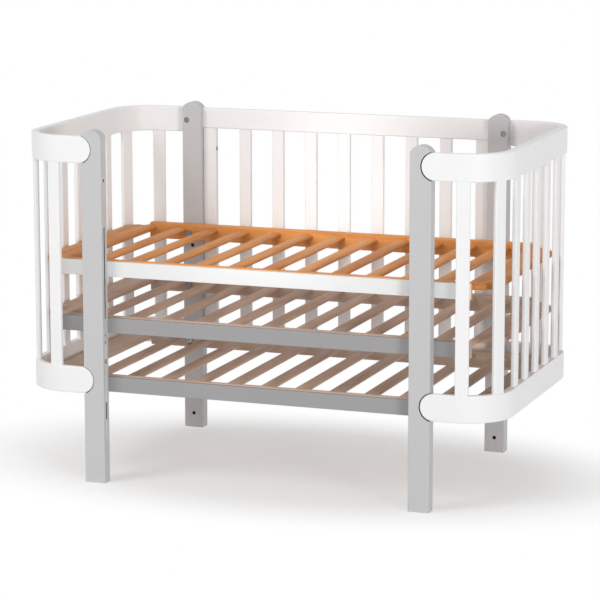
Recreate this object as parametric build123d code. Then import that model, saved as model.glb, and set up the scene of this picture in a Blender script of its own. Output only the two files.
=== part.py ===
from build123d import *
import math
import os

# A convertible crib as it stands with its front panel taken off: four posts, two end
# panels that bow out from the posts, a back panel, and a slatted deck at each of the
# three heights of the bed. Each deck hangs by open slots on four shoulder bolts.
# Sizes are millimetres. X runs along the crib, the open front faces -Y and Z is up.
# The origin is on the floor, below the middle of the crib.

# Posts
POST_GAP = 802.0
POST_WIDTH = 54.0
POST_DEPTH = 32.5
CRIB_DEPTH = 689.0
POST_HEIGHT = 895.3
CROWN_RISE = 16.8
POST_SHOULDER_ROUND = 6.0
POST_EDGE = 2.0

# End panels: two bowed rails with full-round ends, let into the outer faces of the posts
END_REACH = 176.5
CORNER_RADIUS = 117.0
RAIL_HEIGHT = 68.0
RAIL_THICKNESS = 22.0
LEG_THICKNESS = 12.0
LEG_ROOT_THICKNESS = 15.0
LEG_SEAT = 25.5
NOTCH_GAP = 2.2
RAIL_EDGE = 3.5
TOP_RAIL_DROP = 15.3
BOTTOM_RAIL_BASE = 228.5

# Upright slats of the end and back panels
SLAT_WIDTH = 33.5
SLAT_THICKNESS = 12.0
SLAT_EDGE = 4.0
SLAT_TENON = 10.0
END_STRAIGHT_SLATS = 5
END_SLAT_MARGIN = 42.5
CORNER_SLAT_TURN = 59.0
LEG_SLAT_TURN = 9.4

# Back panel
BACK_RAIL_HEIGHT = 54.0
BACK_THICKNESS = 16.5
BACK_TOP_DROP = 1.0
BACK_EDGE = 3.0
STILE_WIDTH = 37.0
STILE_TENON = 14.0
STILE_TENON_WIDTH = 23.0
STILE_TENON_THICKNESS = 8.0
BACK_SLATS = 7
BACK_END_GAP = 65.8

# Decks
DECK_LEVELS = {"lower": 228.6, "middle": 379.7, "top": 523.1}
DECK_CLEARANCE = 0.3
DECK_OVERHANG = 88.5
DECK_RAIL_HEIGHT = 43.0
DECK_RAIL_THICKNESS = 14.0
DECK_RAIL_EDGE = 2.0
DECK_RAIL_END_ROUND = 4.0
FASCIA_HEIGHT = 38.4
FASCIA_THICKNESS = 10.0
FASCIA_LIFT = 1.9
FASCIA_EDGE = 1.5
DECK_SLATS = 11
DECK_SLAT_WIDTH = 37.0
DECK_SLAT_THICKNESS = 15.0
DECK_SLAT_DROP = 6.6
DECK_TENON = 8.0
END_SLAT_INSET = 0.5
END_BOARD_GAP = 8.0
END_BOARD_STRAIGHT = 436.0
END_BOARD_THICKNESS = 17.5
END_BOARD_DROP = 4.5
END_BOARD_EDGE = 8.0
END_TENON_THICKNESS = 9.0
END_TENON_MARGIN = 4.0
COVE_RADIUS = 30.0
COVE_DEPTH = 3.0
COVE_OFFSET = 14.0

# Socket-head bolts of the frame, and the threaded inserts in the rail legs
BOLT_SHANK = 6.0
BOLT_HEAD = 12.5
BOLT_HEAD_HEIGHT = 6.0
BOLT_KEY = 5.0
BOLT_KEY_DEPTH = 3.0
BOLT_SINK = 7.0
BOLT_BORE_CLEARANCE = 0.5
RAIL_BOLT_INSET = 12.5
RAIL_BOLT_RECESS = 15.0
RAIL_BOLT_COVER = 4.0
INSERT_DIAMETER = 9.0
INSERT_COVER = 3.0
INSERT_SET_BACK = 0.6
STILE_BOLT_RECESS = 14.0
STILE_BOLT_REACH = 18.0
STILE_BOLT_RISE = 141.5
STILE_BOLT_DROP = 110.5

# Shoulder bolts of the decks, and the holes in the posts for them
LEVEL_HOLE = 10.0
LEVEL_HOLE_DEPTH = 18.0
SPARE_HOLE_HEIGHTS = (38.8, 505.5)
DECK_BOLT_HEAD = 15.0
DECK_BOLT_HEAD_HEIGHT = 5.0
DECK_BOLT_RISE = 19.4
DECK_SLOT_CLEARANCE = 0.3

# Seats of the removed front panel, in the side faces of the front posts
PANEL_BORE = 8.0
PANEL_BORE_DEPTH = 30.0
GUIDE_HOLE = 6.0
GUIDE_HOLE_DEPTH = 12.0
GUIDE_HOLE_HEIGHTS = (360.0, 379.0)
GROOVE_WIDTH = 7.0
GROOVE_DEPTH = 9.0
UPPER_GROOVE = (419.5, 652.0)
LOWER_GROOVE = (110.0, 355.0)
STRIP_SPANS = ((110.0, 162.0), (207.0, 305.0), (317.0, 355.0))
STRIP_SINK = 1.0

# Planes that the pieces share
POST_SHOULDER = POST_HEIGHT - CROWN_RISE
TOP_RAIL_TOP = POST_HEIGHT - TOP_RAIL_DROP
STILE_BOLT_HEIGHTS = (BOTTOM_RAIL_BASE + STILE_BOLT_RISE, TOP_RAIL_TOP - STILE_BOLT_DROP)
POST_INNER_X = POST_GAP / 2
POST_MIDDLE_X = POST_INNER_X + POST_WIDTH / 2
POST_OUTER_X = POST_INNER_X + POST_WIDTH
OUTER_Y = CRIB_DEPTH / 2
POST_INNER_Y = OUTER_Y - POST_DEPTH
POST_MIDDLE_Y = OUTER_Y - POST_DEPTH / 2

END_X = POST_OUTER_X + END_REACH
CORNER_X = END_X - CORNER_RADIUS
CORNER_Y = OUTER_Y - CORNER_RADIUS
LEG_TIP_X = POST_OUTER_X - LEG_SEAT
LEG_TAPER = (LEG_ROOT_THICKNESS - LEG_THICKNESS) / (CORNER_X - POST_OUTER_X)
RAIL_RADIUS = RAIL_HEIGHT / 2
TOP_RAIL_MIDDLE = TOP_RAIL_TOP - RAIL_RADIUS
BOTTOM_RAIL_MIDDLE = BOTTOM_RAIL_BASE + RAIL_RADIUS
END_SLAT_LOW = BOTTOM_RAIL_BASE + RAIL_HEIGHT - SLAT_TENON
END_SLAT_HIGH = TOP_RAIL_TOP - RAIL_HEIGHT + SLAT_TENON

BACK_MIDDLE_Y = OUTER_Y - BACK_THICKNESS / 2
BACK_TOP = TOP_RAIL_TOP - BACK_TOP_DROP
BACK_OPEN_LOW = BOTTOM_RAIL_BASE + BACK_RAIL_HEIGHT
BACK_OPEN_HIGH = BACK_TOP - BACK_RAIL_HEIGHT
STILE_INNER_X = POST_INNER_X - STILE_WIDTH

DECK_END_X = POST_OUTER_X + DECK_OVERHANG
DECK_OUTER_Y = POST_INNER_Y - DECK_CLEARANCE
DECK_INNER_Y = DECK_OUTER_Y - FASCIA_THICKNESS - DECK_RAIL_THICKNESS
DECK_SLAT_PITCH = (DECK_END_X - END_SLAT_INSET) / ((DECK_SLATS + 1) / 2)
DECK_SLAT_MIDDLE = DECK_RAIL_HEIGHT - DECK_SLAT_DROP - DECK_SLAT_THICKNESS / 2
END_BOARD_LINE = DECK_END_X - END_SLAT_INSET
END_BOARD_X = END_X - RAIL_THICKNESS - END_BOARD_GAP
END_BOARD_TOP = DECK_RAIL_HEIGHT - END_BOARD_DROP


def block(x, y, z):
    """Return a box that spans three (low, high) pairs."""
    size = [high - low for low, high in (x, y, z)]
    middle = [(high + low) / 2 for low, high in (x, y, z)]
    return Pos(*middle) * Box(*size)


def rod(start, direction, diameter, length):
    """Return a cylinder that starts at a point and runs in a direction."""
    return extrude(Plane(origin=start, z_dir=direction) * Circle(diameter / 2), amount=length)


def bolt(start, direction, shank, length, head, head_height):
    """Return a socket-head bolt whose head seats at start and whose shank runs in direction."""
    seat = Plane(origin=start, z_dir=direction)
    body = extrude(seat * Circle(head / 2), amount=-head_height)
    body += extrude(seat * Circle(shank / 2), amount=length)
    top = seat.offset(-head_height)
    socket = extrude(top * RegularPolygon(BOLT_KEY / 2, 6, major_radius=False), amount=BOLT_KEY_DEPTH)
    return body - socket


def left(shape):
    """Return the left-hand copy of a right-hand piece."""
    return mirror(shape, about=Plane.YZ)


def front(shape):
    """Return the front copy of a back piece."""
    return mirror(shape, about=Plane.XZ)


def at_four_posts(shape):
    """Return a piece of the right back post at all four posts."""
    return [shape, left(shape), front(shape), left(front(shape))]


def leg_inner_y(x):
    """Return where the tapered inner face of a back leg lies at x."""
    return OUTER_Y - LEG_THICKNESS - (x - POST_OUTER_X) * LEG_TAPER


def round_nosed(tip_x, middle_z, radius):
    """Return a solid right across the crib, with a half-round nose at tip_x in front view."""
    nose_x = tip_x + radius
    nose = rod((nose_x, -CRIB_DEPTH, middle_z), (0, 1, 0), 2 * radius, 2 * CRIB_DEPTH)
    shank = block(
        (nose_x, END_X + radius),
        (-CRIB_DEPTH, CRIB_DEPTH),
        (middle_z - radius, middle_z + radius),
    )
    return nose + shank


def leg_notch(middle_z):
    """Return the round-nosed cut in the right back post that a rail's leg lies in."""
    start = LEG_TIP_X - NOTCH_GAP
    stop = POST_OUTER_X + POST_EDGE
    plan = Polyline(
        (start, leg_inner_y(start)),
        (stop, leg_inner_y(stop)),
        (stop, CRIB_DEPTH),
        (start, CRIB_DEPTH),
        close=True,
    )
    return extrude(make_face(plan), amount=POST_HEIGHT) & round_nosed(
        start, middle_z, RAIL_RADIUS + NOTCH_GAP
    )


def rail_bolt_cuts(middle_z):
    """Return the bore and the head's recess of one rail bolt, for the right back post."""
    x = POST_OUTER_X - RAIL_BOLT_INSET
    recess = rod((x, POST_INNER_Y, middle_z), (0, 1, 0), RAIL_BOLT_RECESS, BOLT_SINK)
    bore = rod((x, POST_INNER_Y, middle_z), (0, 1, 0), BOLT_SHANK + BOLT_BORE_CLEARANCE, POST_DEPTH)
    return recess + bore


def level_hole(height):
    """Return one of the blind holes for shoulder bolts in the right back post's inner face."""
    return rod((POST_MIDDLE_X, POST_INNER_Y, height), (0, 1, 0), LEVEL_HOLE, LEVEL_HOLE_DEPTH)


def plain_post():
    """Return the right back post, with what all four posts share."""
    half = POST_WIDTH / 2
    sides = Polyline((-half, POST_SHOULDER), (-half, 0), (half, 0), (half, POST_SHOULDER))
    crown = ThreePointArc((half, POST_SHOULDER), (0, POST_HEIGHT), (-half, POST_SHOULDER))
    outline = make_face(sides + crown)
    outline = fillet(outline.vertices().sort_by(Axis.Y)[-2:], POST_SHOULDER_ROUND)
    post = extrude(Plane.XZ * outline, amount=POST_DEPTH / 2, both=True)
    rounded = post.edges().filter_by(Axis.Y, reverse=True)
    post = fillet(rounded.filter_by(lambda edge: edge.center().Z > POST_EDGE), POST_EDGE)
    post = Pos(POST_MIDDLE_X, POST_MIDDLE_Y, 0) * post
    for middle in (TOP_RAIL_MIDDLE, BOTTOM_RAIL_MIDDLE):
        post -= leg_notch(middle)
        post -= rail_bolt_cuts(middle)
    for height in SPARE_HOLE_HEIGHTS:
        post -= level_hole(height)
    for level in DECK_LEVELS.values():
        post -= level_hole(level + DECK_BOLT_RISE)
    return post


def groove(span):
    """Return one upright groove in the side face of the right-hand post at the back."""
    low, high = span
    mouth = Plane.YZ.offset(POST_INNER_X) * Pos(POST_MIDDLE_Y, (low + high) / 2)
    return extrude(mouth * SlotOverall(high - low, GROOVE_WIDTH, rotation=90), amount=GROOVE_DEPTH)


def side_bore(height, diameter, depth):
    """Return a blind hole in the middle of the right back post's side face."""
    return rod((POST_INNER_X, POST_MIDDLE_Y, height), (1, 0, 0), diameter, depth)


def front_post():
    """Return the right front post, with the seats of the removed front panel."""
    post = plain_post() - groove(UPPER_GROOVE) - groove(LOWER_GROOVE)
    post -= side_bore(STILE_BOLT_HEIGHTS[-1], PANEL_BORE, PANEL_BORE_DEPTH)
    for height in GUIDE_HOLE_HEIGHTS:
        post -= side_bore(height, GUIDE_HOLE, GUIDE_HOLE_DEPTH)
    return front(post)


def back_post():
    """Return the right back post, bored for the bolts of the stile."""
    post = plain_post()
    for height in STILE_BOLT_HEIGHTS:
        start = (POST_INNER_X, BACK_MIDDLE_Y, height)
        post -= rod(start, (1, 0, 0), BOLT_SHANK, STILE_BOLT_REACH)
    return post


def guide_strips():
    """Return the plastic strips in the lower grooves of both front posts."""
    channel = Pos(STRIP_SINK, 0, 0) * groove(LOWER_GROOVE) & groove(LOWER_GROOVE)
    strips = []
    for low, high in STRIP_SPANS:
        span = block((POST_INNER_X, POST_OUTER_X), (0, CRIB_DEPTH), (low, high))
        strips.append(front(channel & span))
    return strips + [left(strip) for strip in strips]


def rail_bolt(middle_z):
    """Return the bolt that pulls a rail's leg into the right back post."""
    start = (POST_OUTER_X - RAIL_BOLT_INSET, POST_INNER_Y + BOLT_SINK, middle_z)
    length = POST_DEPTH - BOLT_SINK - RAIL_BOLT_COVER
    return bolt(start, (0, 1, 0), BOLT_SHANK, length, BOLT_HEAD, BOLT_HEAD_HEIGHT)


def insert_blank(middle_z):
    """Return the outer shape of the insert in a leg, at the right back post."""
    x = POST_OUTER_X - RAIL_BOLT_INSET
    start_y = leg_inner_y(x) + INSERT_SET_BACK
    length = OUTER_Y - INSERT_COVER - start_y
    return rod((x, start_y, middle_z), (0, 1, 0), INSERT_DIAMETER, length)


def insert_bore(middle_z):
    """Return the space that the bolt's shank takes, from the post to the end of the insert."""
    x = POST_OUTER_X - RAIL_BOLT_INSET
    return rod((x, POST_INNER_Y, middle_z), (0, 1, 0), BOLT_SHANK, POST_DEPTH - INSERT_COVER)


def rail_insert(middle_z):
    """Return the threaded insert in a leg, as a sleeve round its bolt."""
    return insert_blank(middle_z) - insert_bore(middle_z)


def rail_middle(turn):
    """Return how far the rail's middle line lies from the corner's centre.

    The turn is in degrees round the corner, from the leg. The rail grows thicker from its
    leg to its end stretch, because the inner corner has its own centre.
    """
    inner_radius = CORNER_RADIUS - RAIL_THICKNESS
    inner_centre = leg_inner_y(CORNER_X) - inner_radius / math.cos(math.atan(LEG_TAPER))
    offset = inner_centre - CORNER_Y
    angle = math.radians(turn)
    inner = offset * math.cos(angle) + math.sqrt(inner_radius**2 - (offset * math.sin(angle)) ** 2)
    return (CORNER_RADIUS + inner) / 2


def upright(low, high):
    """Return an upright slat with eased edges, its width along X."""
    section = RectangleRounded(SLAT_WIDTH, SLAT_THICKNESS, SLAT_EDGE)
    return Pos(0, 0, low) * extrude(section, amount=high - low)


def end_slats():
    """Return the slats of the right end panel, from the front leg round to the back leg."""
    slat = upright(END_SLAT_LOW, END_SLAT_HIGH)
    corner = []
    for turn in (LEG_SLAT_TURN, CORNER_SLAT_TURN):
        reach = rail_middle(turn)
        x = CORNER_X + reach * math.sin(math.radians(turn))
        y = CORNER_Y + reach * math.cos(math.radians(turn))
        corner.append(Pos(x, y, 0) * Rot(0, 0, -turn) * slat)
    pitch = 2 * (CORNER_Y - END_SLAT_MARGIN) / (END_STRAIGHT_SLATS - 1)
    straight = []
    for index in range(END_STRAIGHT_SLATS):
        y = (index - (END_STRAIGHT_SLATS - 1) / 2) * pitch
        straight.append(Pos(END_X - RAIL_THICKNESS / 2, y, 0) * Rot(0, 0, 90) * slat)
    return [front(piece) for piece in corner] + straight + corner[::-1]


def end_rail(middle_z, slats):
    """Return a bowed rail of the right end panel, with its legs let into the posts."""
    inner_x = END_X - RAIL_THICKNESS
    tip_inner_y = leg_inner_y(LEG_TIP_X)
    corner_inner_y = leg_inner_y(inner_x)
    plan = Polyline(
        (LEG_TIP_X, OUTER_Y),
        (END_X, OUTER_Y),
        (END_X, -OUTER_Y),
        (LEG_TIP_X, -OUTER_Y),
        (LEG_TIP_X, -tip_inner_y),
        (inner_x, -corner_inner_y),
        (inner_x, corner_inner_y),
        (LEG_TIP_X, tip_inner_y),
        close=True,
    )
    outline = make_face(plan)
    outline = fillet(outline.vertices().group_by(Axis.X)[-1], CORNER_RADIUS)
    inner = outline.vertices().group_by(Axis.X)[-2]
    outline = fillet(inner, CORNER_RADIUS - RAIL_THICKNESS)
    rail = Pos(0, 0, middle_z - RAIL_RADIUS) * extrude(outline, amount=RAIL_HEIGHT)
    rail &= round_nosed(LEG_TIP_X, middle_z, RAIL_RADIUS)
    edges = rail.edges().filter_by(Axis.Z, reverse=True)
    nose_lines = edges.filter_by(Axis.Y).filter_by(lambda edge: edge.center().X < CORNER_X)
    rail = fillet([edge for edge in edges if edge not in nose_lines], RAIL_EDGE)
    pocket = insert_blank(middle_z) + insert_bore(middle_z)
    return rail - slats - pocket - front(pocket)


def back_rail(low):
    """Return a rail of the back panel, plain, with its long edges rounded."""
    rail = block(
        (-POST_INNER_X, POST_INNER_X),
        (OUTER_Y - BACK_THICKNESS, OUTER_Y),
        (low, low + BACK_RAIL_HEIGHT),
    )
    return fillet(rail.edges().filter_by(Axis.X), BACK_EDGE)


def back_slats():
    """Return the slats of the back panel, from left to right."""
    slat = upright(BACK_OPEN_LOW - SLAT_TENON, BACK_OPEN_HIGH + SLAT_TENON)
    span = 2 * (STILE_INNER_X - BACK_END_GAP) - SLAT_WIDTH
    pitch = span / (BACK_SLATS - 1)
    first = -span / 2
    return [Pos(first + index * pitch, BACK_MIDDLE_Y, 0) * slat for index in range(BACK_SLATS)]


def stile_bolt(height):
    """Return a bolt through the right stile into its post."""
    start = (STILE_INNER_X + BOLT_SINK, BACK_MIDDLE_Y, height)
    length = STILE_WIDTH - BOLT_SINK + STILE_BOLT_REACH
    return bolt(start, (1, 0, 0), BOLT_SHANK, length, BOLT_HEAD, BOLT_HEAD_HEIGHT)


def stile():
    """Return the right stile of the back panel, tenoned into both rails."""
    thickness = (OUTER_Y - BACK_THICKNESS, OUTER_Y)
    body = block((STILE_INNER_X, POST_INNER_X), thickness, (BACK_OPEN_LOW, BACK_OPEN_HIGH))
    body = fillet(body.edges().filter_by(Axis.Z), BACK_EDGE)
    middle_x = (STILE_INNER_X + POST_INNER_X) / 2
    body += block(
        (middle_x - STILE_TENON_WIDTH / 2, middle_x + STILE_TENON_WIDTH / 2),
        (BACK_MIDDLE_Y - STILE_TENON_THICKNESS / 2, BACK_MIDDLE_Y + STILE_TENON_THICKNESS / 2),
        (BACK_OPEN_LOW - STILE_TENON, BACK_OPEN_HIGH + STILE_TENON),
    )
    for height in STILE_BOLT_HEIGHTS:
        start = (STILE_INNER_X, BACK_MIDDLE_Y, height)
        body -= rod(start, (1, 0, 0), STILE_BOLT_RECESS, BOLT_SINK)
        body -= rod(start, (1, 0, 0), BOLT_SHANK + BOLT_BORE_CLEARANCE, STILE_WIDTH)
    return body


def deck_slot():
    """Return the slot, open below, that hangs a deck on its bolt at the right back post."""
    width = LEVEL_HOLE + 2 * DECK_SLOT_CLEARANCE
    start = (POST_MIDDLE_X, 0, DECK_BOLT_RISE)
    half = width / 2
    mouth = block(
        (POST_MIDDLE_X - half, POST_MIDDLE_X + half),
        (0, CRIB_DEPTH),
        (-DECK_RAIL_HEIGHT, DECK_BOLT_RISE),
    )
    return rod(start, (0, 1, 0), width, CRIB_DEPTH) + mouth


def deck_rail(thickness_span, seats):
    """Return a long rail of a deck at the back, slotted for its bolts and cut for its seats."""
    rail = block((-DECK_END_X, DECK_END_X), thickness_span, (0, DECK_RAIL_HEIGHT))
    rail = fillet(rail.edges().filter_by(Axis.Z), DECK_RAIL_END_ROUND)
    rail = fillet(rail.edges().filter_by(Axis.Z, reverse=True), DECK_RAIL_EDGE)
    slot = deck_slot()
    return rail - slot - left(slot) - seats


def fascia():
    """Return the painted board along a deck's front, slotted for the same bolts."""
    board = block(
        (-DECK_END_X, DECK_END_X),
        (DECK_OUTER_Y - FASCIA_THICKNESS, DECK_OUTER_Y),
        (FASCIA_LIFT, FASCIA_LIFT + FASCIA_HEIGHT),
    )
    board = fillet(board.faces().sort_by(Axis.Y)[-1].edges(), FASCIA_EDGE)
    slot = deck_slot()
    return front(board - slot - left(slot))


def deck_slats():
    """Return the oval slats of a deck, tenoned into both rails."""
    section = Plane.XZ * Pos(0, DECK_SLAT_MIDDLE) * Ellipse(DECK_SLAT_WIDTH / 2, DECK_SLAT_THICKNESS / 2)
    slat = extrude(section, amount=DECK_INNER_Y + DECK_TENON, both=True)
    middle = (DECK_SLATS - 1) / 2
    return [Pos((index - middle) * DECK_SLAT_PITCH, 0, 0) * slat for index in range(DECK_SLATS)]


def end_board():
    """Return the moulded board at a deck's right end.

    Its inner half lies in the row of slats, tenoned into the rails. Its outer edge bows past
    the ends of the rails on two arcs, and a cove along its top parts the two halves.
    """
    inner_x = END_BOARD_LINE - DECK_SLAT_WIDTH / 2
    rise = END_BOARD_X - DECK_END_X
    run = DECK_INNER_Y - END_BOARD_STRAIGHT / 2
    radius = (rise**2 + run**2) / (2 * rise)
    level = (END_BOARD_TOP - END_BOARD_THICKNESS, END_BOARD_TOP)
    reach = END_BOARD_STRAIGHT / 2 + radius
    board = block((END_BOARD_X - 2 * radius, END_BOARD_X), (-reach, reach), level)
    corners = board.edges().filter_by(Axis.Z).group_by(Axis.X)[-1]
    board = fillet(corners, radius)
    outer = board.faces().sort_by(Axis.Z)
    rims = (outer[0].edges() + outer[-1].edges()).filter_by(lambda edge: edge.center().X > DECK_END_X)
    board = fillet(rims, END_BOARD_EDGE)
    blank = block((inner_x, END_X), (-DECK_INNER_Y, DECK_INNER_Y), level)
    board &= fillet(blank.edges().filter_by(Axis.Y).group_by(Axis.X)[0], END_BOARD_EDGE)
    cove_start = (END_BOARD_LINE + COVE_OFFSET, -CRIB_DEPTH, END_BOARD_TOP - COVE_DEPTH + COVE_RADIUS)
    board -= rod(cove_start, (0, 1, 0), 2 * COVE_RADIUS, 2 * CRIB_DEPTH)
    middle_z = END_BOARD_TOP - END_BOARD_THICKNESS / 2
    return board + block(
        (inner_x + END_TENON_MARGIN, DECK_END_X - END_TENON_MARGIN),
        (-DECK_INNER_Y - DECK_TENON, DECK_INNER_Y + DECK_TENON),
        (middle_z - END_TENON_THICKNESS / 2, middle_z + END_TENON_THICKNESS / 2),
    )


def deck_bolt(level):
    """Return the shoulder bolt that a deck hangs on at the right back post."""
    start = (POST_MIDDLE_X, DECK_INNER_Y - DECK_CLEARANCE, level + DECK_BOLT_RISE)
    length = POST_INNER_Y + LEVEL_HOLE_DEPTH - start[1]
    return bolt(start, (0, 1, 0), LEVEL_HOLE, length, DECK_BOLT_HEAD, DECK_BOLT_HEAD_HEIGHT)


def frame_pieces():
    """Return the posts, the panels and what fastens them, by name."""
    pieces = {
        "front_right_post": [front_post()],
        "front_left_post": [left(front_post())],
        "back_right_post": [back_post()],
        "back_left_post": [left(back_post())],
    }
    slats = end_slats()
    top_rail = end_rail(TOP_RAIL_MIDDLE, slats)
    bottom_rail = end_rail(BOTTOM_RAIL_MIDDLE, slats)
    for side, place in (("right", lambda shape: shape), ("left", left)):
        pieces[f"{side}_end_top_rail"] = [place(top_rail)]
        pieces[f"{side}_end_bottom_rail"] = [place(bottom_rail)]
        for number, slat in enumerate(slats, 1):
            pieces[f"{side}_end_slat_{number}"] = [place(slat)]
    uprights = back_slats()
    right_stile = stile()
    seats = uprights + [right_stile, left(right_stile)]
    pieces["back_top_rail"] = [back_rail(BACK_OPEN_HIGH) - seats]
    pieces["back_bottom_rail"] = [back_rail(BOTTOM_RAIL_BASE) - seats]
    pieces["back_right_stile"] = [right_stile]
    pieces["back_left_stile"] = [left(right_stile)]
    for number, slat in enumerate(uprights, 1):
        pieces[f"back_slat_{number}"] = [slat]
    rails = (TOP_RAIL_MIDDLE, BOTTOM_RAIL_MIDDLE)
    pieces["rail_bolts"] = [piece for z in rails for piece in at_four_posts(rail_bolt(z))]
    pieces["rail_inserts"] = [piece for z in rails for piece in at_four_posts(rail_insert(z))]
    stile_bolts = [stile_bolt(height) for height in STILE_BOLT_HEIGHTS]
    pieces["stile_bolts"] = stile_bolts + [left(piece) for piece in stile_bolts]
    levels = DECK_LEVELS.values()
    pieces["deck_bolts"] = [piece for z in levels for piece in at_four_posts(deck_bolt(z))]
    pieces["guide_strips"] = guide_strips()
    return pieces


def deck_pieces():
    """Return the pieces of one deck, with the underside of its rails at z = 0, by name."""
    slats = deck_slats()
    board = end_board()
    seats = slats + [board, left(board)]
    front_span = (DECK_INNER_Y, DECK_OUTER_Y - FASCIA_THICKNESS)
    return {
        "front_rail": [front(deck_rail(front_span, seats))],
        "back_rail": [deck_rail((DECK_INNER_Y, DECK_OUTER_Y), seats)],
        "fascia": [fascia()],
        "slats": slats,
        "right_end_board": [board],
        "left_end_board": [left(board)],
    }


def main():
    """Build every piece and write each node as its own file."""
    os.makedirs("parts", exist_ok=True)
    pieces = frame_pieces()
    deck = deck_pieces()
    for level, height in DECK_LEVELS.items():
        for name, solids in deck.items():
            pieces[f"{level}_deck_{name}"] = [Pos(0, 0, height) * solid for solid in solids]
    for name, solids in pieces.items():
        node = solids[0] if len(solids) == 1 else Compound(children=solids)
        export_step(node, f"parts/{name}.step")


main()
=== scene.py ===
"""Looks of the convertible crib: painted wood, beech, fasteners, studio and camera.

Every solid of the part is shown as it is, and this file gives each one its finish. Lengths
are metres in the part's own frame: X along the crib, the open front faces -Y and Z is up.
"""

import logging
import math
from dataclasses import dataclass, field
from enum import Enum

import bpy
import numpy as np
from mathutils import Matrix, Vector

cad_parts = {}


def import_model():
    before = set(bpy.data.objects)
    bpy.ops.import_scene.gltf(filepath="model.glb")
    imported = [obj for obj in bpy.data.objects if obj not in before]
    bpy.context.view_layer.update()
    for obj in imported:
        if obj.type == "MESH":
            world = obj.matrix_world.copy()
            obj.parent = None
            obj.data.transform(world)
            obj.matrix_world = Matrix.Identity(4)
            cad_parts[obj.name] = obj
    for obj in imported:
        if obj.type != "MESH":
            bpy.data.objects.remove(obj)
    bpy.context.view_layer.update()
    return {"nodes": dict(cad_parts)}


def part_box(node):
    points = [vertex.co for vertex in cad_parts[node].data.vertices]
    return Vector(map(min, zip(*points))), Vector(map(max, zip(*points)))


LOG = logging.getLogger("crib")
WHITE = (1.0, 1.0, 1.0)

Colour = tuple[float, float, float]
Point = tuple[float, float, float]
Span = tuple[float, float]


class Run(Enum):
    """The direction that the grain of a piece follows, as stretches along X, Y and Z."""

    LENGTH = (2.2, 26.0, 26.0)
    DEPTH = (26.0, 2.2, 26.0)
    HEIGHT = (26.0, 26.0, 2.2)


class Axis(Enum):
    """The object's three directions."""

    LENGTH = "X"
    DEPTH = "Y"
    HEIGHT = "Z"


class Slot(Enum):
    """The material slots of the part."""

    GREY_POST = "grey_painted_wood"
    WHITE_PANEL = "white_painted_wood"
    HONEY_BEECH = "honey_beech"
    GREY_BEECH = "grey_brown_beech"
    WHITE_FASCIA = "white_fascia"
    GREY_FASCIA = "grey_fascia"
    STEEL = "zinc_steel"
    BRASS = "brass_insert"
    PLASTIC = "white_plastic"


class Value:
    """A shader socket that carries a number and can stand in a sum.

    Args:
        nodes: The node tree that the socket belongs to.
        socket: The output socket itself.
    """

    def __init__(self, nodes: "Nodes", socket: bpy.types.NodeSocket) -> None:
        """Wrap one output socket."""
        self.nodes = nodes
        self.socket = socket

    def maths(self, operation: str, *terms: "Value | float") -> "Value":
        """Add a Math node over the given terms.

        Args:
            operation: The name of the Math node's operation.
            terms: Its inputs in order, as values or plain numbers.

        Returns:
            The node's result.
        """
        node = self.nodes.node("ShaderNodeMath", {"operation": operation}, dict(enumerate(terms)))
        return Value(self.nodes, node.outputs[0])

    def __add__(self, other: "Value | float") -> "Value":
        """Return the sum."""
        return self.maths("ADD", self, other)

    __radd__ = __add__

    def __sub__(self, other: "Value | float") -> "Value":
        """Return the difference."""
        return self.maths("SUBTRACT", self, other)

    def __rsub__(self, other: "Value | float") -> "Value":
        """Return the difference, taken from the other term."""
        return self.maths("SUBTRACT", other, self)

    def __mul__(self, other: "Value | float") -> "Value":
        """Return the product."""
        return self.maths("MULTIPLY", self, other)

    __rmul__ = __mul__

    def __truediv__(self, other: "Value | float") -> "Value":
        """Return the quotient."""
        return self.maths("DIVIDE", self, other)

    def __rtruediv__(self, other: "Value | float") -> "Value":
        """Return the quotient, with the other term on top."""
        return self.maths("DIVIDE", other, self)

    def either(self, other: "Value") -> "Value":
        """Return the larger of two numbers."""
        return self.maths("MAXIMUM", self, other)

    def size(self) -> "Value":
        """Return the number without its sign."""
        return self.maths("ABSOLUTE", self)

    def rounded(self) -> "Value":
        """Return the nearest whole number."""
        return self.maths("ROUND", self)

    def within(self, low: float, high: float) -> "Value":
        """Return a smooth mask that climbs from 0 at low to 1 at high."""
        settings = {"interpolation_type": "SMOOTHSTEP", "clamp": True}
        node = self.nodes.node("ShaderNodeMapRange", settings, {"Value": self, 1: low, 2: high})
        return Value(self.nodes, node.outputs[0])


class Nodes:
    """A node tree, the one method that adds nodes to it and the one that joins them.

    Args:
        tree: The tree of a material or of the world.
    """

    def __init__(self, tree: bpy.types.NodeTree) -> None:
        """Wrap one node tree."""
        self.tree = tree

    def node(self, kind: str, settings: dict, inputs: dict) -> bpy.types.Node:
        """Add one node.

        Args:
            kind: The node's type.
            settings: Its properties by name, set first.
            inputs: Numbers, colours, sockets or values by input name or index.

        Returns:
            The node.
        """
        made = self.tree.nodes.new(kind)
        for name, setting in settings.items():
            setattr(made, name, setting)
        for name, given in inputs.items():
            self.join(given, made.inputs[name])
        return made

    def join(self, given: object, target: bpy.types.NodeSocket) -> None:
        """Link a socket or value to an input, or write a plain number or colour into it."""
        if isinstance(given, Value):
            self.tree.links.new(given.socket, target)
        elif isinstance(given, bpy.types.NodeSocket):
            self.tree.links.new(given, target)
        elif isinstance(given, tuple) and target.type == "RGBA":
            target.default_value = (*given, 1.0)
        else:
            target.default_value = given

    def shown(self) -> Value:
        """Return 1 where the eye or a reflection looks, and 0 where light is gathered."""
        rays = self.node("ShaderNodeLightPath", {}, {})
        names = ("Is Camera Ray", "Is Glossy Ray", "Is Transmission Ray")
        camera, glossy, through = (Value(self, rays.outputs[name]) for name in names)
        return camera.either(glossy).either(through)


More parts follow.
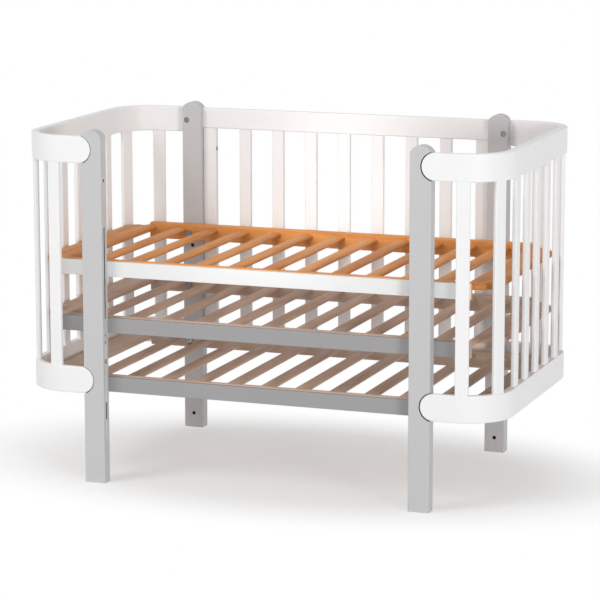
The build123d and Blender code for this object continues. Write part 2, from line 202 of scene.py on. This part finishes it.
class Graph(Nodes):
    """The node tree of one material, built around its surface shader.

    Args:
        name: The material's name.
    """

    def __init__(self, name: str) -> None:
        """Make the material with a bare surface shader."""
        self.material = bpy.data.materials.new(name)
        self.material.use_nodes = True
        super().__init__(self.material.node_tree)
        self.shader = self.tree.nodes["Principled BSDF"]
        self.place = self.node("ShaderNodeTexCoord", {}, {}).outputs["Object"]

    def stretched(self, scale: Point, shift: Value | None = None) -> bpy.types.NodeSocket:
        """Return the object's coordinates, scaled on each axis.

        Args:
            scale: The factors on X, Y and Z.
            shift: A number added on all axes, to cut a new piece out of the pattern.

        Returns:
            The vector socket.
        """
        settings = {"operation": "MULTIPLY"}
        scaled = self.node("ShaderNodeVectorMath", settings, {0: self.place, 1: scale}).outputs[0]
        if shift is None:
            return scaled
        return self.node("ShaderNodeVectorMath", {"operation": "ADD"}, {0: scaled, 1: shift}).outputs[0]

    def noise(self, vector: bpy.types.NodeSocket, scale: float, detail: float, rough: float = 0.5) -> Value:
        """Return fractal noise from 0 to 1 over a vector."""
        inputs = {"Vector": vector, "Scale": scale, "Detail": detail, "Roughness": rough}
        return Value(self, self.node("ShaderNodeTexNoise", {}, inputs).outputs[0])

    def blend(self, factor: Value | float, low: object, high: object) -> bpy.types.NodeSocket:
        """Return a colour between two colours."""
        inputs = {0: factor, 6: low, 7: high}
        return self.node("ShaderNodeMix", {"data_type": "RGBA"}, inputs).outputs[2]

    def axis(self, direction: Axis) -> Value:
        """Return one of the object's coordinates."""
        split = self.node("ShaderNodeSeparateXYZ", {}, {0: self.place})
        return Value(self, split.outputs[direction.value])

    def bump(self, height: Value, strength: float, distance: float) -> None:
        """Raise the surface's normal by a height."""
        inputs = {"Strength": strength, "Distance": distance, "Height": height}
        self.join(self.node("ShaderNodeBump", {}, inputs).outputs[0], self.shader.inputs["Normal"])

    def surface(self, **inputs: object) -> None:
        """Set the surface shader's inputs, with spaces in their names given as underscores."""
        for name, given in inputs.items():
            self.join(given, self.shader.inputs[name.replace("_", " ")])


def shaded(colour: Colour, share: float) -> Colour:
    """Return a colour darkened to a share of itself."""
    red, green, blue = colour
    return (red * share, green * share, blue * share)


@dataclass(frozen=True)
class PaintedWood:
    """Sprayed satin lacquer on beech, whose grain hardly shows through.

    The colour drifts a little with slow noise, and fine noise along the grain gives both
    the faint relief and the change of gloss.
    """

    colour: Colour
    grain: Run
    gloss: float = 0.42
    gloss_change: float = 0.12
    sheen: float = 0.3
    drift: float = 0.035
    cloud_scale: float = 3.0
    grain_scale: float = 9.0
    skin_scale: float = 900.0
    relief: float = 0.12
    relief_depth: float = 0.0004

    def body(self, graph: Graph, along: Value) -> bpy.types.NodeSocket:
        """Return the paint's colour over the piece.

        Args:
            graph: The material's graph.
            along: The noise that runs with the grain.

        Returns:
            The colour's socket.
        """
        slow = graph.noise(graph.place, self.cloud_scale, 2.0)
        tone = slow * 0.7 + along * 0.3
        return graph.blend(tone.within(0.3, 0.7), self.colour, shaded(self.colour, 1.0 - self.drift))

    def make(self, name: str) -> bpy.types.Material:
        """Build the material.

        Args:
            name: The material's name.

        Returns:
            The material.
        """
        graph = Graph(name)
        along = graph.noise(graph.stretched(self.grain.value), self.grain_scale, 4.0, 0.6)
        skin = graph.noise(graph.place, self.skin_scale, 1.0)
        graph.surface(
            Base_Color=self.body(graph, along),
            Roughness=self.gloss + (along - 0.5) * self.gloss_change,
            Specular_IOR_Level=self.sheen,
        )
        graph.bump(along * 0.6 + skin * 0.4, self.relief, self.relief_depth)
        return graph.material


@dataclass(frozen=True, kw_only=True)
class LacquerWithPaintedShade(PaintedWood):
    """The posts' lacquer, with painted shade: the walls of holes, grooves and notches are coloured near
    black.

    A post is a plain upright, so any skin that lies deeper inside its outline than its eased
    edges do is a wall of one of its cuts. The foot and the domed crown keep their paint.
    """

    # Near-black colour of the painted shade on the walls of the posts' cuts.
    inside: Colour
    width: Span
    depth: Span
    height: Span
    edge: Span = (0.0008, 0.0014)

    def inner(self, place: Value, span: Span) -> Value:
        """Return a mask of what lies between two planes, further in than their edges."""
        low, high = span
        start, full = self.edge
        return place.within(low + start, low + full) - place.within(high - full, high - start)

    def body(self, graph: Graph, along: Value) -> bpy.types.NodeSocket:
        """Return the paint's colour over a post, with painted shade on the walls of its cuts.

        Args:
            graph: The material's graph.
            along: The noise that runs with the grain.

        Returns:
            The colour's socket.
        """
        # Painted shade: skin deep in a hole, groove or notch is coloured near black.
        cut = (
            self.inner(graph.axis(Axis.LENGTH).size(), self.width)
            * self.inner(graph.axis(Axis.DEPTH).size(), self.depth)
            * self.inner(graph.axis(Axis.HEIGHT), self.height)
        )
        return graph.blend(cut, super().body(graph, along), self.inside)


@dataclass(frozen=True)
class Beech:
    """Satin lacquer on straight-grained beech, honey or a darker grey-brown that is painted shade.

    Rings are sharp-sided noise drawn out along the grain, flecks are short dashes of a finer
    noise, and each strip of wood has its own tone, from a whole number that counts strips.
    """

    light: Colour
    dark: Colour
    grain: Run
    strip: float
    across: Axis
    gloss: float = 0.5
    gloss_change: float = 0.2
    sheen: float = 0.2
    strip_shift: float = 7.31
    ring_scale: float = 1.1
    fine_scale: float = 5.0
    fleck_scale: float = 14.0
    fleck_shade: float = 0.78
    fleck_share: float = 0.45
    relief: float = 0.18
    relief_depth: float = 0.0005

    def make(self, name: str) -> bpy.types.Material:
        """Build the material.

        Args:
            name: The material's name.

        Returns:
            The material.
        """
        graph = Graph(name)
        number = (graph.axis(self.across) / self.strip).rounded()
        own = graph.node("ShaderNodeTexWhiteNoise", {"noise_dimensions": "1D"}, {"W": number}).outputs[0]
        tone = Value(graph, own)
        coordinates = graph.stretched(self.grain.value, number * self.strip_shift)
        rings = graph.noise(coordinates, self.ring_scale, 5.0, 0.62)
        flecks = graph.noise(coordinates, self.fleck_scale, 2.0, 0.5)
        fine = graph.noise(coordinates, self.fine_scale, 6.0, 0.7)
        darkness = rings.within(0.36, 0.68) * 0.6 + fine * 0.25 + tone * 0.35
        body = graph.blend(darkness.within(0.15, 0.95), self.light, self.dark)
        fleck = shaded(self.dark, self.fleck_shade)
        graph.surface(
            Base_Color=graph.blend(flecks.within(0.62, 0.8) * self.fleck_share, body, fleck),
            Roughness=self.gloss + (fine - 0.5) * self.gloss_change,
            Specular_IOR_Level=self.sheen,
        )
        graph.bump(fine * 0.7 + flecks * 0.3, self.relief, self.relief_depth)
        return graph.material


@dataclass(frozen=True)
class TurnedMetal:
    """Plated or turned metal with the fine marks of its making.

    Fine noise changes the gloss, and slow noise changes the plating's tone.
    """

    colour: Colour
    gloss: float
    gloss_change: float = 0.2
    shade: float = 0.8
    stretch: Point = (1.0, 6.0, 1.0)
    mark_scale: float = 420.0
    cloud_scale: float = 40.0
    relief: float = 0.1
    relief_depth: float = 0.0001

    def make(self, name: str) -> bpy.types.Material:
        """Build the material.

        Args:
            name: The material's name.

        Returns:
            The material.
        """
        graph = Graph(name)
        marks = graph.noise(graph.stretched(self.stretch), self.mark_scale, 3.0)
        slow = graph.noise(graph.place, self.cloud_scale, 1.0)
        graph.surface(
            Base_Color=graph.blend(slow, self.colour, shaded(self.colour, self.shade)),
            Roughness=self.gloss + (marks - 0.5) * self.gloss_change,
            Metallic=1.0,
        )
        graph.bump(marks, self.relief, self.relief_depth)
        return graph.material


@dataclass(frozen=True)
class MouldedPlastic:
    """Moulded plastic with a fine spark-eroded grain."""

    colour: Colour
    gloss: float = 0.5
    gloss_change: float = 0.15
    shade: float = 0.95
    grain_scale: float = 1600.0
    cloud_scale: float = 12.0
    relief: float = 0.15
    relief_depth: float = 0.0001

    def make(self, name: str) -> bpy.types.Material:
        """Build the material.

        Args:
            name: The material's name.

        Returns:
            The material.
        """
        graph = Graph(name)
        grain = graph.noise(graph.place, self.grain_scale, 2.0)
        slow = graph.noise(graph.place, self.cloud_scale, 1.0)
        graph.surface(
            Base_Color=graph.blend(slow, self.colour, shaded(self.colour, self.shade)),
            Roughness=self.gloss + (grain - 0.5) * self.gloss_change,
        )
        graph.bump(grain, self.relief, self.relief_depth)
        return graph.material


Finish = PaintedWood | Beech | TurnedMetal | MouldedPlastic


class Wardrobe:
    """The crib's finishes, each made once and shared by the pieces that wear it."""

    def __init__(self) -> None:
        """Start with no material made."""
        self.made: dict[str, bpy.types.Material] = {}

    def dress(self, piece: bpy.types.Object, slot: Slot, name: str, finish: Finish) -> None:
        """Give one piece a finish.

        Args:
            piece: The piece's object.
            slot: The material slot it belongs to; not used.
            name: The finish's name.
            finish: How the finish is built, used the first time that its name comes up.
        """
        if name not in self.made:
            self.made[name] = finish.make(name)
        piece.data.materials.clear()
        piece.data.materials.append(self.made[name])
        LOG.info("%s wears %s", piece.name, name)


@dataclass
class Posts:
    """The four upright posts in light grey lacquer, with painted shade in their holes, grooves and notches.
    """

    colour: Colour = (0.565, 0.565, 0.572)
    # Near-black painted shade on the walls of the posts' holes, grooves and notches.
    inside: Colour = (0.09, 0.085, 0.08)
    crown_height: float = 0.0215

    def dress(self, nodes: dict[str, bpy.types.Object], wardrobe: Wardrobe) -> None:
        """Paint the posts."""
        low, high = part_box("back_right_post")
        finish = LacquerWithPaintedShade(
            self.colour,
            Run.HEIGHT,
            inside=self.inside,
            width=(low[0], high[0]),
            depth=(low[1], high[1]),
            height=(low[2], high[2] - self.crown_height),
        )
        for depth in ("front", "back"):
            for side in ("left", "right"):
                wardrobe.dress(nodes[f"{depth}_{side}_post"], Slot.GREY_POST, "post_lacquer_and_painted_shade", finish)


@dataclass
class EndPanels:
    """The two bowed end panels in white lacquer."""

    colour: Colour = (0.89, 0.89, 0.893)
    slats: int = 9

    def dress(self, nodes: dict[str, bpy.types.Object], wardrobe: Wardrobe) -> None:
        """Paint the rails and the slats."""
        rail = PaintedWood(self.colour, Run.DEPTH)
        slat = PaintedWood(self.colour, Run.HEIGHT)
        for side in ("left", "right"):
            for height in ("top", "bottom"):
                node = nodes[f"{side}_end_{height}_rail"]
                wardrobe.dress(node, Slot.WHITE_PANEL, "end_rail_lacquer", rail)
            for number in range(1, self.slats + 1):
                node = nodes[f"{side}_end_slat_{number}"]
                wardrobe.dress(node, Slot.WHITE_PANEL, "slat_lacquer", slat)


@dataclass
class BackPanel:
    """The flat back panel in white lacquer."""

    colour: Colour = (0.89, 0.89, 0.893)
    slats: int = 7

    def dress(self, nodes: dict[str, bpy.types.Object], wardrobe: Wardrobe) -> None:
        """Paint the rails, the stiles and the slats."""
        rail = PaintedWood(self.colour, Run.LENGTH)
        upright = PaintedWood(self.colour, Run.HEIGHT)
        for height in ("top", "bottom"):
            node = nodes[f"back_{height}_rail"]
            wardrobe.dress(node, Slot.WHITE_PANEL, "back_rail_lacquer", rail)
        for side in ("left", "right"):
            wardrobe.dress(nodes[f"back_{side}_stile"], Slot.WHITE_PANEL, "slat_lacquer", upright)
        for number in range(1, self.slats + 1):
            wardrobe.dress(nodes[f"back_slat_{number}"], Slot.WHITE_PANEL, "slat_lacquer", upright)


@dataclass
class Deck:
    """One slatted deck: beech rails, slats and end boards, and its painted fascia."""

    level: str
    wood: Slot
    light: Colour
    dark: Colour
    fascia_slot: Slot
    fascia: Colour
    slat_pitch: float = 0.0905
    board_width: float = 0.3

    def dress(self, nodes: dict[str, bpy.types.Object], wardrobe: Wardrobe) -> None:
        """Give the deck its wood and its fascia their finishes."""
        along = Beech(self.light, self.dark, Run.LENGTH, self.board_width, Axis.DEPTH)
        across = Beech(self.light, self.dark, Run.DEPTH, self.slat_pitch, Axis.LENGTH)
        name = self.wood.value
        for rail in ("front_rail", "back_rail"):
            wardrobe.dress(nodes[f"{self.level}_deck_{rail}"], self.wood, f"{name}_rail", along)
        for piece in ("slats", "left_end_board", "right_end_board"):
            wardrobe.dress(nodes[f"{self.level}_deck_{piece}"], self.wood, f"{name}_slat", across)
        paint = PaintedWood(self.fascia, Run.LENGTH)
        fascia = nodes[f"{self.level}_deck_fascia"]
        wardrobe.dress(fascia, self.fascia_slot, f"{self.fascia_slot.value}_lacquer", paint)


@dataclass
class Fasteners:
    """Bolts, inserts and the guide strips in the front posts."""

    steel: Colour = (0.36, 0.36, 0.37)
    steel_gloss: float = 0.35
    brass: Colour = (0.62, 0.44, 0.19)
    brass_gloss: float = 0.3
    plastic: Colour = (0.8, 0.8, 0.81)

    def dress(self, nodes: dict[str, bpy.types.Object], wardrobe: Wardrobe) -> None:
        """Give the small pieces their finishes."""
        steel = TurnedMetal(self.steel, self.steel_gloss)
        for name in ("rail_bolts", "stile_bolts", "deck_bolts"):
            wardrobe.dress(nodes[name], Slot.STEEL, "zinc_plating", steel)
        brass = TurnedMetal(self.brass, self.brass_gloss)
        wardrobe.dress(nodes["rail_inserts"], Slot.BRASS, "turned_brass", brass)
        strip = MouldedPlastic(self.plastic)
        wardrobe.dress(nodes["guide_strips"], Slot.PLASTIC, "strip_plastic", strip)


@dataclass
class Lamp:
    """One soft square lamp that faces a point. Its spread is in degrees."""

    name: str
    place: Point
    aim: Point
    size: float
    power: float
    spread: float = 180.0

    def make(self) -> bpy.types.Object:
        """Add the lamp.

        Returns:
            The lamp's object.
        """
        data = bpy.data.lights.new(self.name, "AREA")
        data.shape = "SQUARE"
        data.size = self.size
        data.energy = self.power
        data.spread = math.radians(self.spread)
        lamp = bpy.data.objects.new(self.name, data)
        bpy.context.scene.collection.objects.link(lamp)
        lamp.location = self.place
        direction = Vector(self.aim) - Vector(self.place)
        lamp.rotation_euler = direction.to_track_quat("-Z", "Y").to_euler()
        return lamp


@dataclass
class Studio:
    """A white floor, an even sky, two soft lamps and a narrow one for the back panel.

    The floor shows the crib's shadow inside an oval, and fades to plain white outside it.
    """

    floor_reach: float = 40.0
    floor_cells: int = 2
    floor_dark: Colour = (0.93, 0.93, 0.93)
    floor_light: Colour = (0.95, 0.95, 0.95)
    floor_gloss: float = 0.9
    sky: float = 0.5
    glow: float = 0.4
    oval: Span = (0.72, 0.42)
    fade: Span = (0.75, 1.5)
    lamps: list[Lamp] = field(
        default_factory=lambda: [
            Lamp("key_lamp", (-3.4, -4.2, 4.6), (0.0, 0.0, 0.5), 2.6, 140.0),
            Lamp("low_right_lamp", (9.0, -8.0, 1.6), (0.0, 0.0, 0.5), 3.0, 520.0),
            Lamp("back_panel_lamp", (0.1, -2.4, 1.3), (-0.02, 0.3, 0.68), 0.35, 0.29, 14.0),
        ]
    )

    def floor_mesh(self) -> bpy.types.Mesh:
        """Build the floor: a square grid at height zero.

        Returns:
            The mesh.
        """
        steps = np.linspace(-self.floor_reach, self.floor_reach, self.floor_cells + 1)
        x, y = np.meshgrid(steps, steps)
        points = np.stack([x.ravel(), y.ravel(), np.zeros(x.size)], axis=1)
        index = np.arange(x.size).reshape(x.shape)
        quads = np.stack([index[:-1, :-1], index[:-1, 1:], index[1:, 1:], index[1:, :-1]], axis=-1)
        mesh = bpy.data.meshes.new("studio_floor")
        mesh.from_pydata(points.tolist(), [], quads.reshape(-1, 4).tolist())
        mesh.update()
        return mesh

    def floor_material(self) -> bpy.types.Material:
        """Build the floor's white, which keeps the shadow and gives off no light of its own.

        Returns:
            The material.
        """
        graph = Graph("studio_white")
        slow = graph.noise(graph.place, 2.0, 1.0)
        tone = graph.blend(slow, self.floor_dark, self.floor_light)
        graph.surface(Base_Color=tone, Roughness=self.floor_gloss, Specular_IOR_Level=0.0)
        white = graph.node("ShaderNodeEmission", {}, {"Color": WHITE, "Strength": 1.0})
        oval = graph.stretched((1.0 / self.oval[0], 1.0 / self.oval[1], 0.0))
        length = graph.node("ShaderNodeVectorMath", {"operation": "LENGTH"}, {0: oval})
        away = Value(graph, length.outputs["Value"]).within(*self.fade)
        share = graph.shown() * (away * (1.0 - self.glow) + self.glow)
        inputs = {0: share, 1: graph.shader.outputs[0], 2: white.outputs[0]}
        mixed = graph.node("ShaderNodeMixShader", {}, inputs)
        graph.join(mixed.outputs[0], graph.tree.nodes["Material Output"].inputs["Surface"])
        return graph.material

    def world(self) -> None:
        """Light the scene evenly, and show plain white where the camera sees past the floor."""
        world = bpy.data.worlds.new("studio_sky")
        bpy.context.scene.world = world
        world.use_nodes = True
        nodes = Nodes(world.node_tree)
        sky = nodes.tree.nodes["Background"]
        nodes.join(WHITE, sky.inputs["Color"])
        nodes.join(self.sky, sky.inputs["Strength"])
        white = nodes.node("ShaderNodeBackground", {}, {"Color": WHITE})
        inputs = {0: nodes.shown(), 1: sky.outputs[0], 2: white.outputs[0]}
        mixed = nodes.node("ShaderNodeMixShader", {}, inputs)
        nodes.join(mixed.outputs[0], nodes.tree.nodes["World Output"].inputs["Surface"])

    def build(self) -> None:
        """Add the floor, the sky and the lamps."""
        floor = bpy.data.objects.new("studio_floor", self.floor_mesh())
        floor.data.materials.append(self.floor_material())
        bpy.context.scene.collection.objects.link(floor)
        self.world()
        for lamp in self.lamps:
            lamp.make()
            LOG.info("%s of %.2f W", lamp.name, lamp.power)


@dataclass
class Viewpoint:
    """The camera at the photograph's place, turn and focal length."""

    place: Point = (2.4043, -6.5428, 1.7427)
    yaw: float = 0.352543
    pitch: float = 0.185291
    roll: float = -0.001
    lens: float = 166.12
    sensor: float = 36.0

    def build(self) -> bpy.types.Object:
        """Add the camera and make it the scene's own.

        Returns:
            The camera's object.
        """
        flat = math.cos(self.pitch)
        back = Vector((math.sin(self.yaw) * flat, -math.cos(self.yaw) * flat, math.sin(self.pitch)))
        right = Vector((0.0, 0.0, 1.0)).cross(back).normalized()
        up = back.cross(right)
        turned_right = math.cos(self.roll) * right + math.sin(self.roll) * up
        turned_up = math.cos(self.roll) * up - math.sin(self.roll) * right
        data = bpy.data.cameras.new("photo_camera")
        data.sensor_width = self.sensor
        data.lens = self.lens
        camera = bpy.data.objects.new("photo_camera", data)
        bpy.context.scene.collection.objects.link(camera)
        turn = Matrix((turned_right, turned_up, back)).transposed().to_4x4()
        camera.matrix_world = Matrix.Translation(self.place) @ turn
        bpy.context.scene.camera = camera
        return camera


def main() -> None:
    """Dress the crib and set up the studio."""
    logging.basicConfig(level=logging.INFO, format="%(message)s")
    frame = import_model()
    nodes = frame["nodes"]
    wardrobe = Wardrobe()
    honey = ((0.78, 0.33, 0.1), (0.57, 0.21, 0.05))
    # The middle and lower decks wear darker grey-brown copies of the top deck's honey beech: painted shade.
    painted_shade_beech = ((0.64, 0.48, 0.38), (0.48, 0.35, 0.27))
    white_fascia = (0.825, 0.825, 0.82)
    # The grey fascia is a darker copy of the white fascia: painted shade.
    grey_fascia = (0.354, 0.347, 0.351)
    assemblies = [
        Posts(),
        EndPanels(),
        BackPanel(),
        Deck("top", Slot.HONEY_BEECH, *honey, Slot.WHITE_FASCIA, white_fascia),
        Deck("middle", Slot.GREY_BEECH, *painted_shade_beech, Slot.GREY_FASCIA, grey_fascia),
        Deck("lower", Slot.GREY_BEECH, *painted_shade_beech, Slot.GREY_FASCIA, grey_fascia),
        Fasteners(),
    ]
    for assembly in assemblies:
        assembly.dress(nodes, wardrobe)
    Studio().build()
    Viewpoint().build()
    bpy.context.scene.view_settings.view_transform = "Standard"


if __name__ == "__main__":
    main()
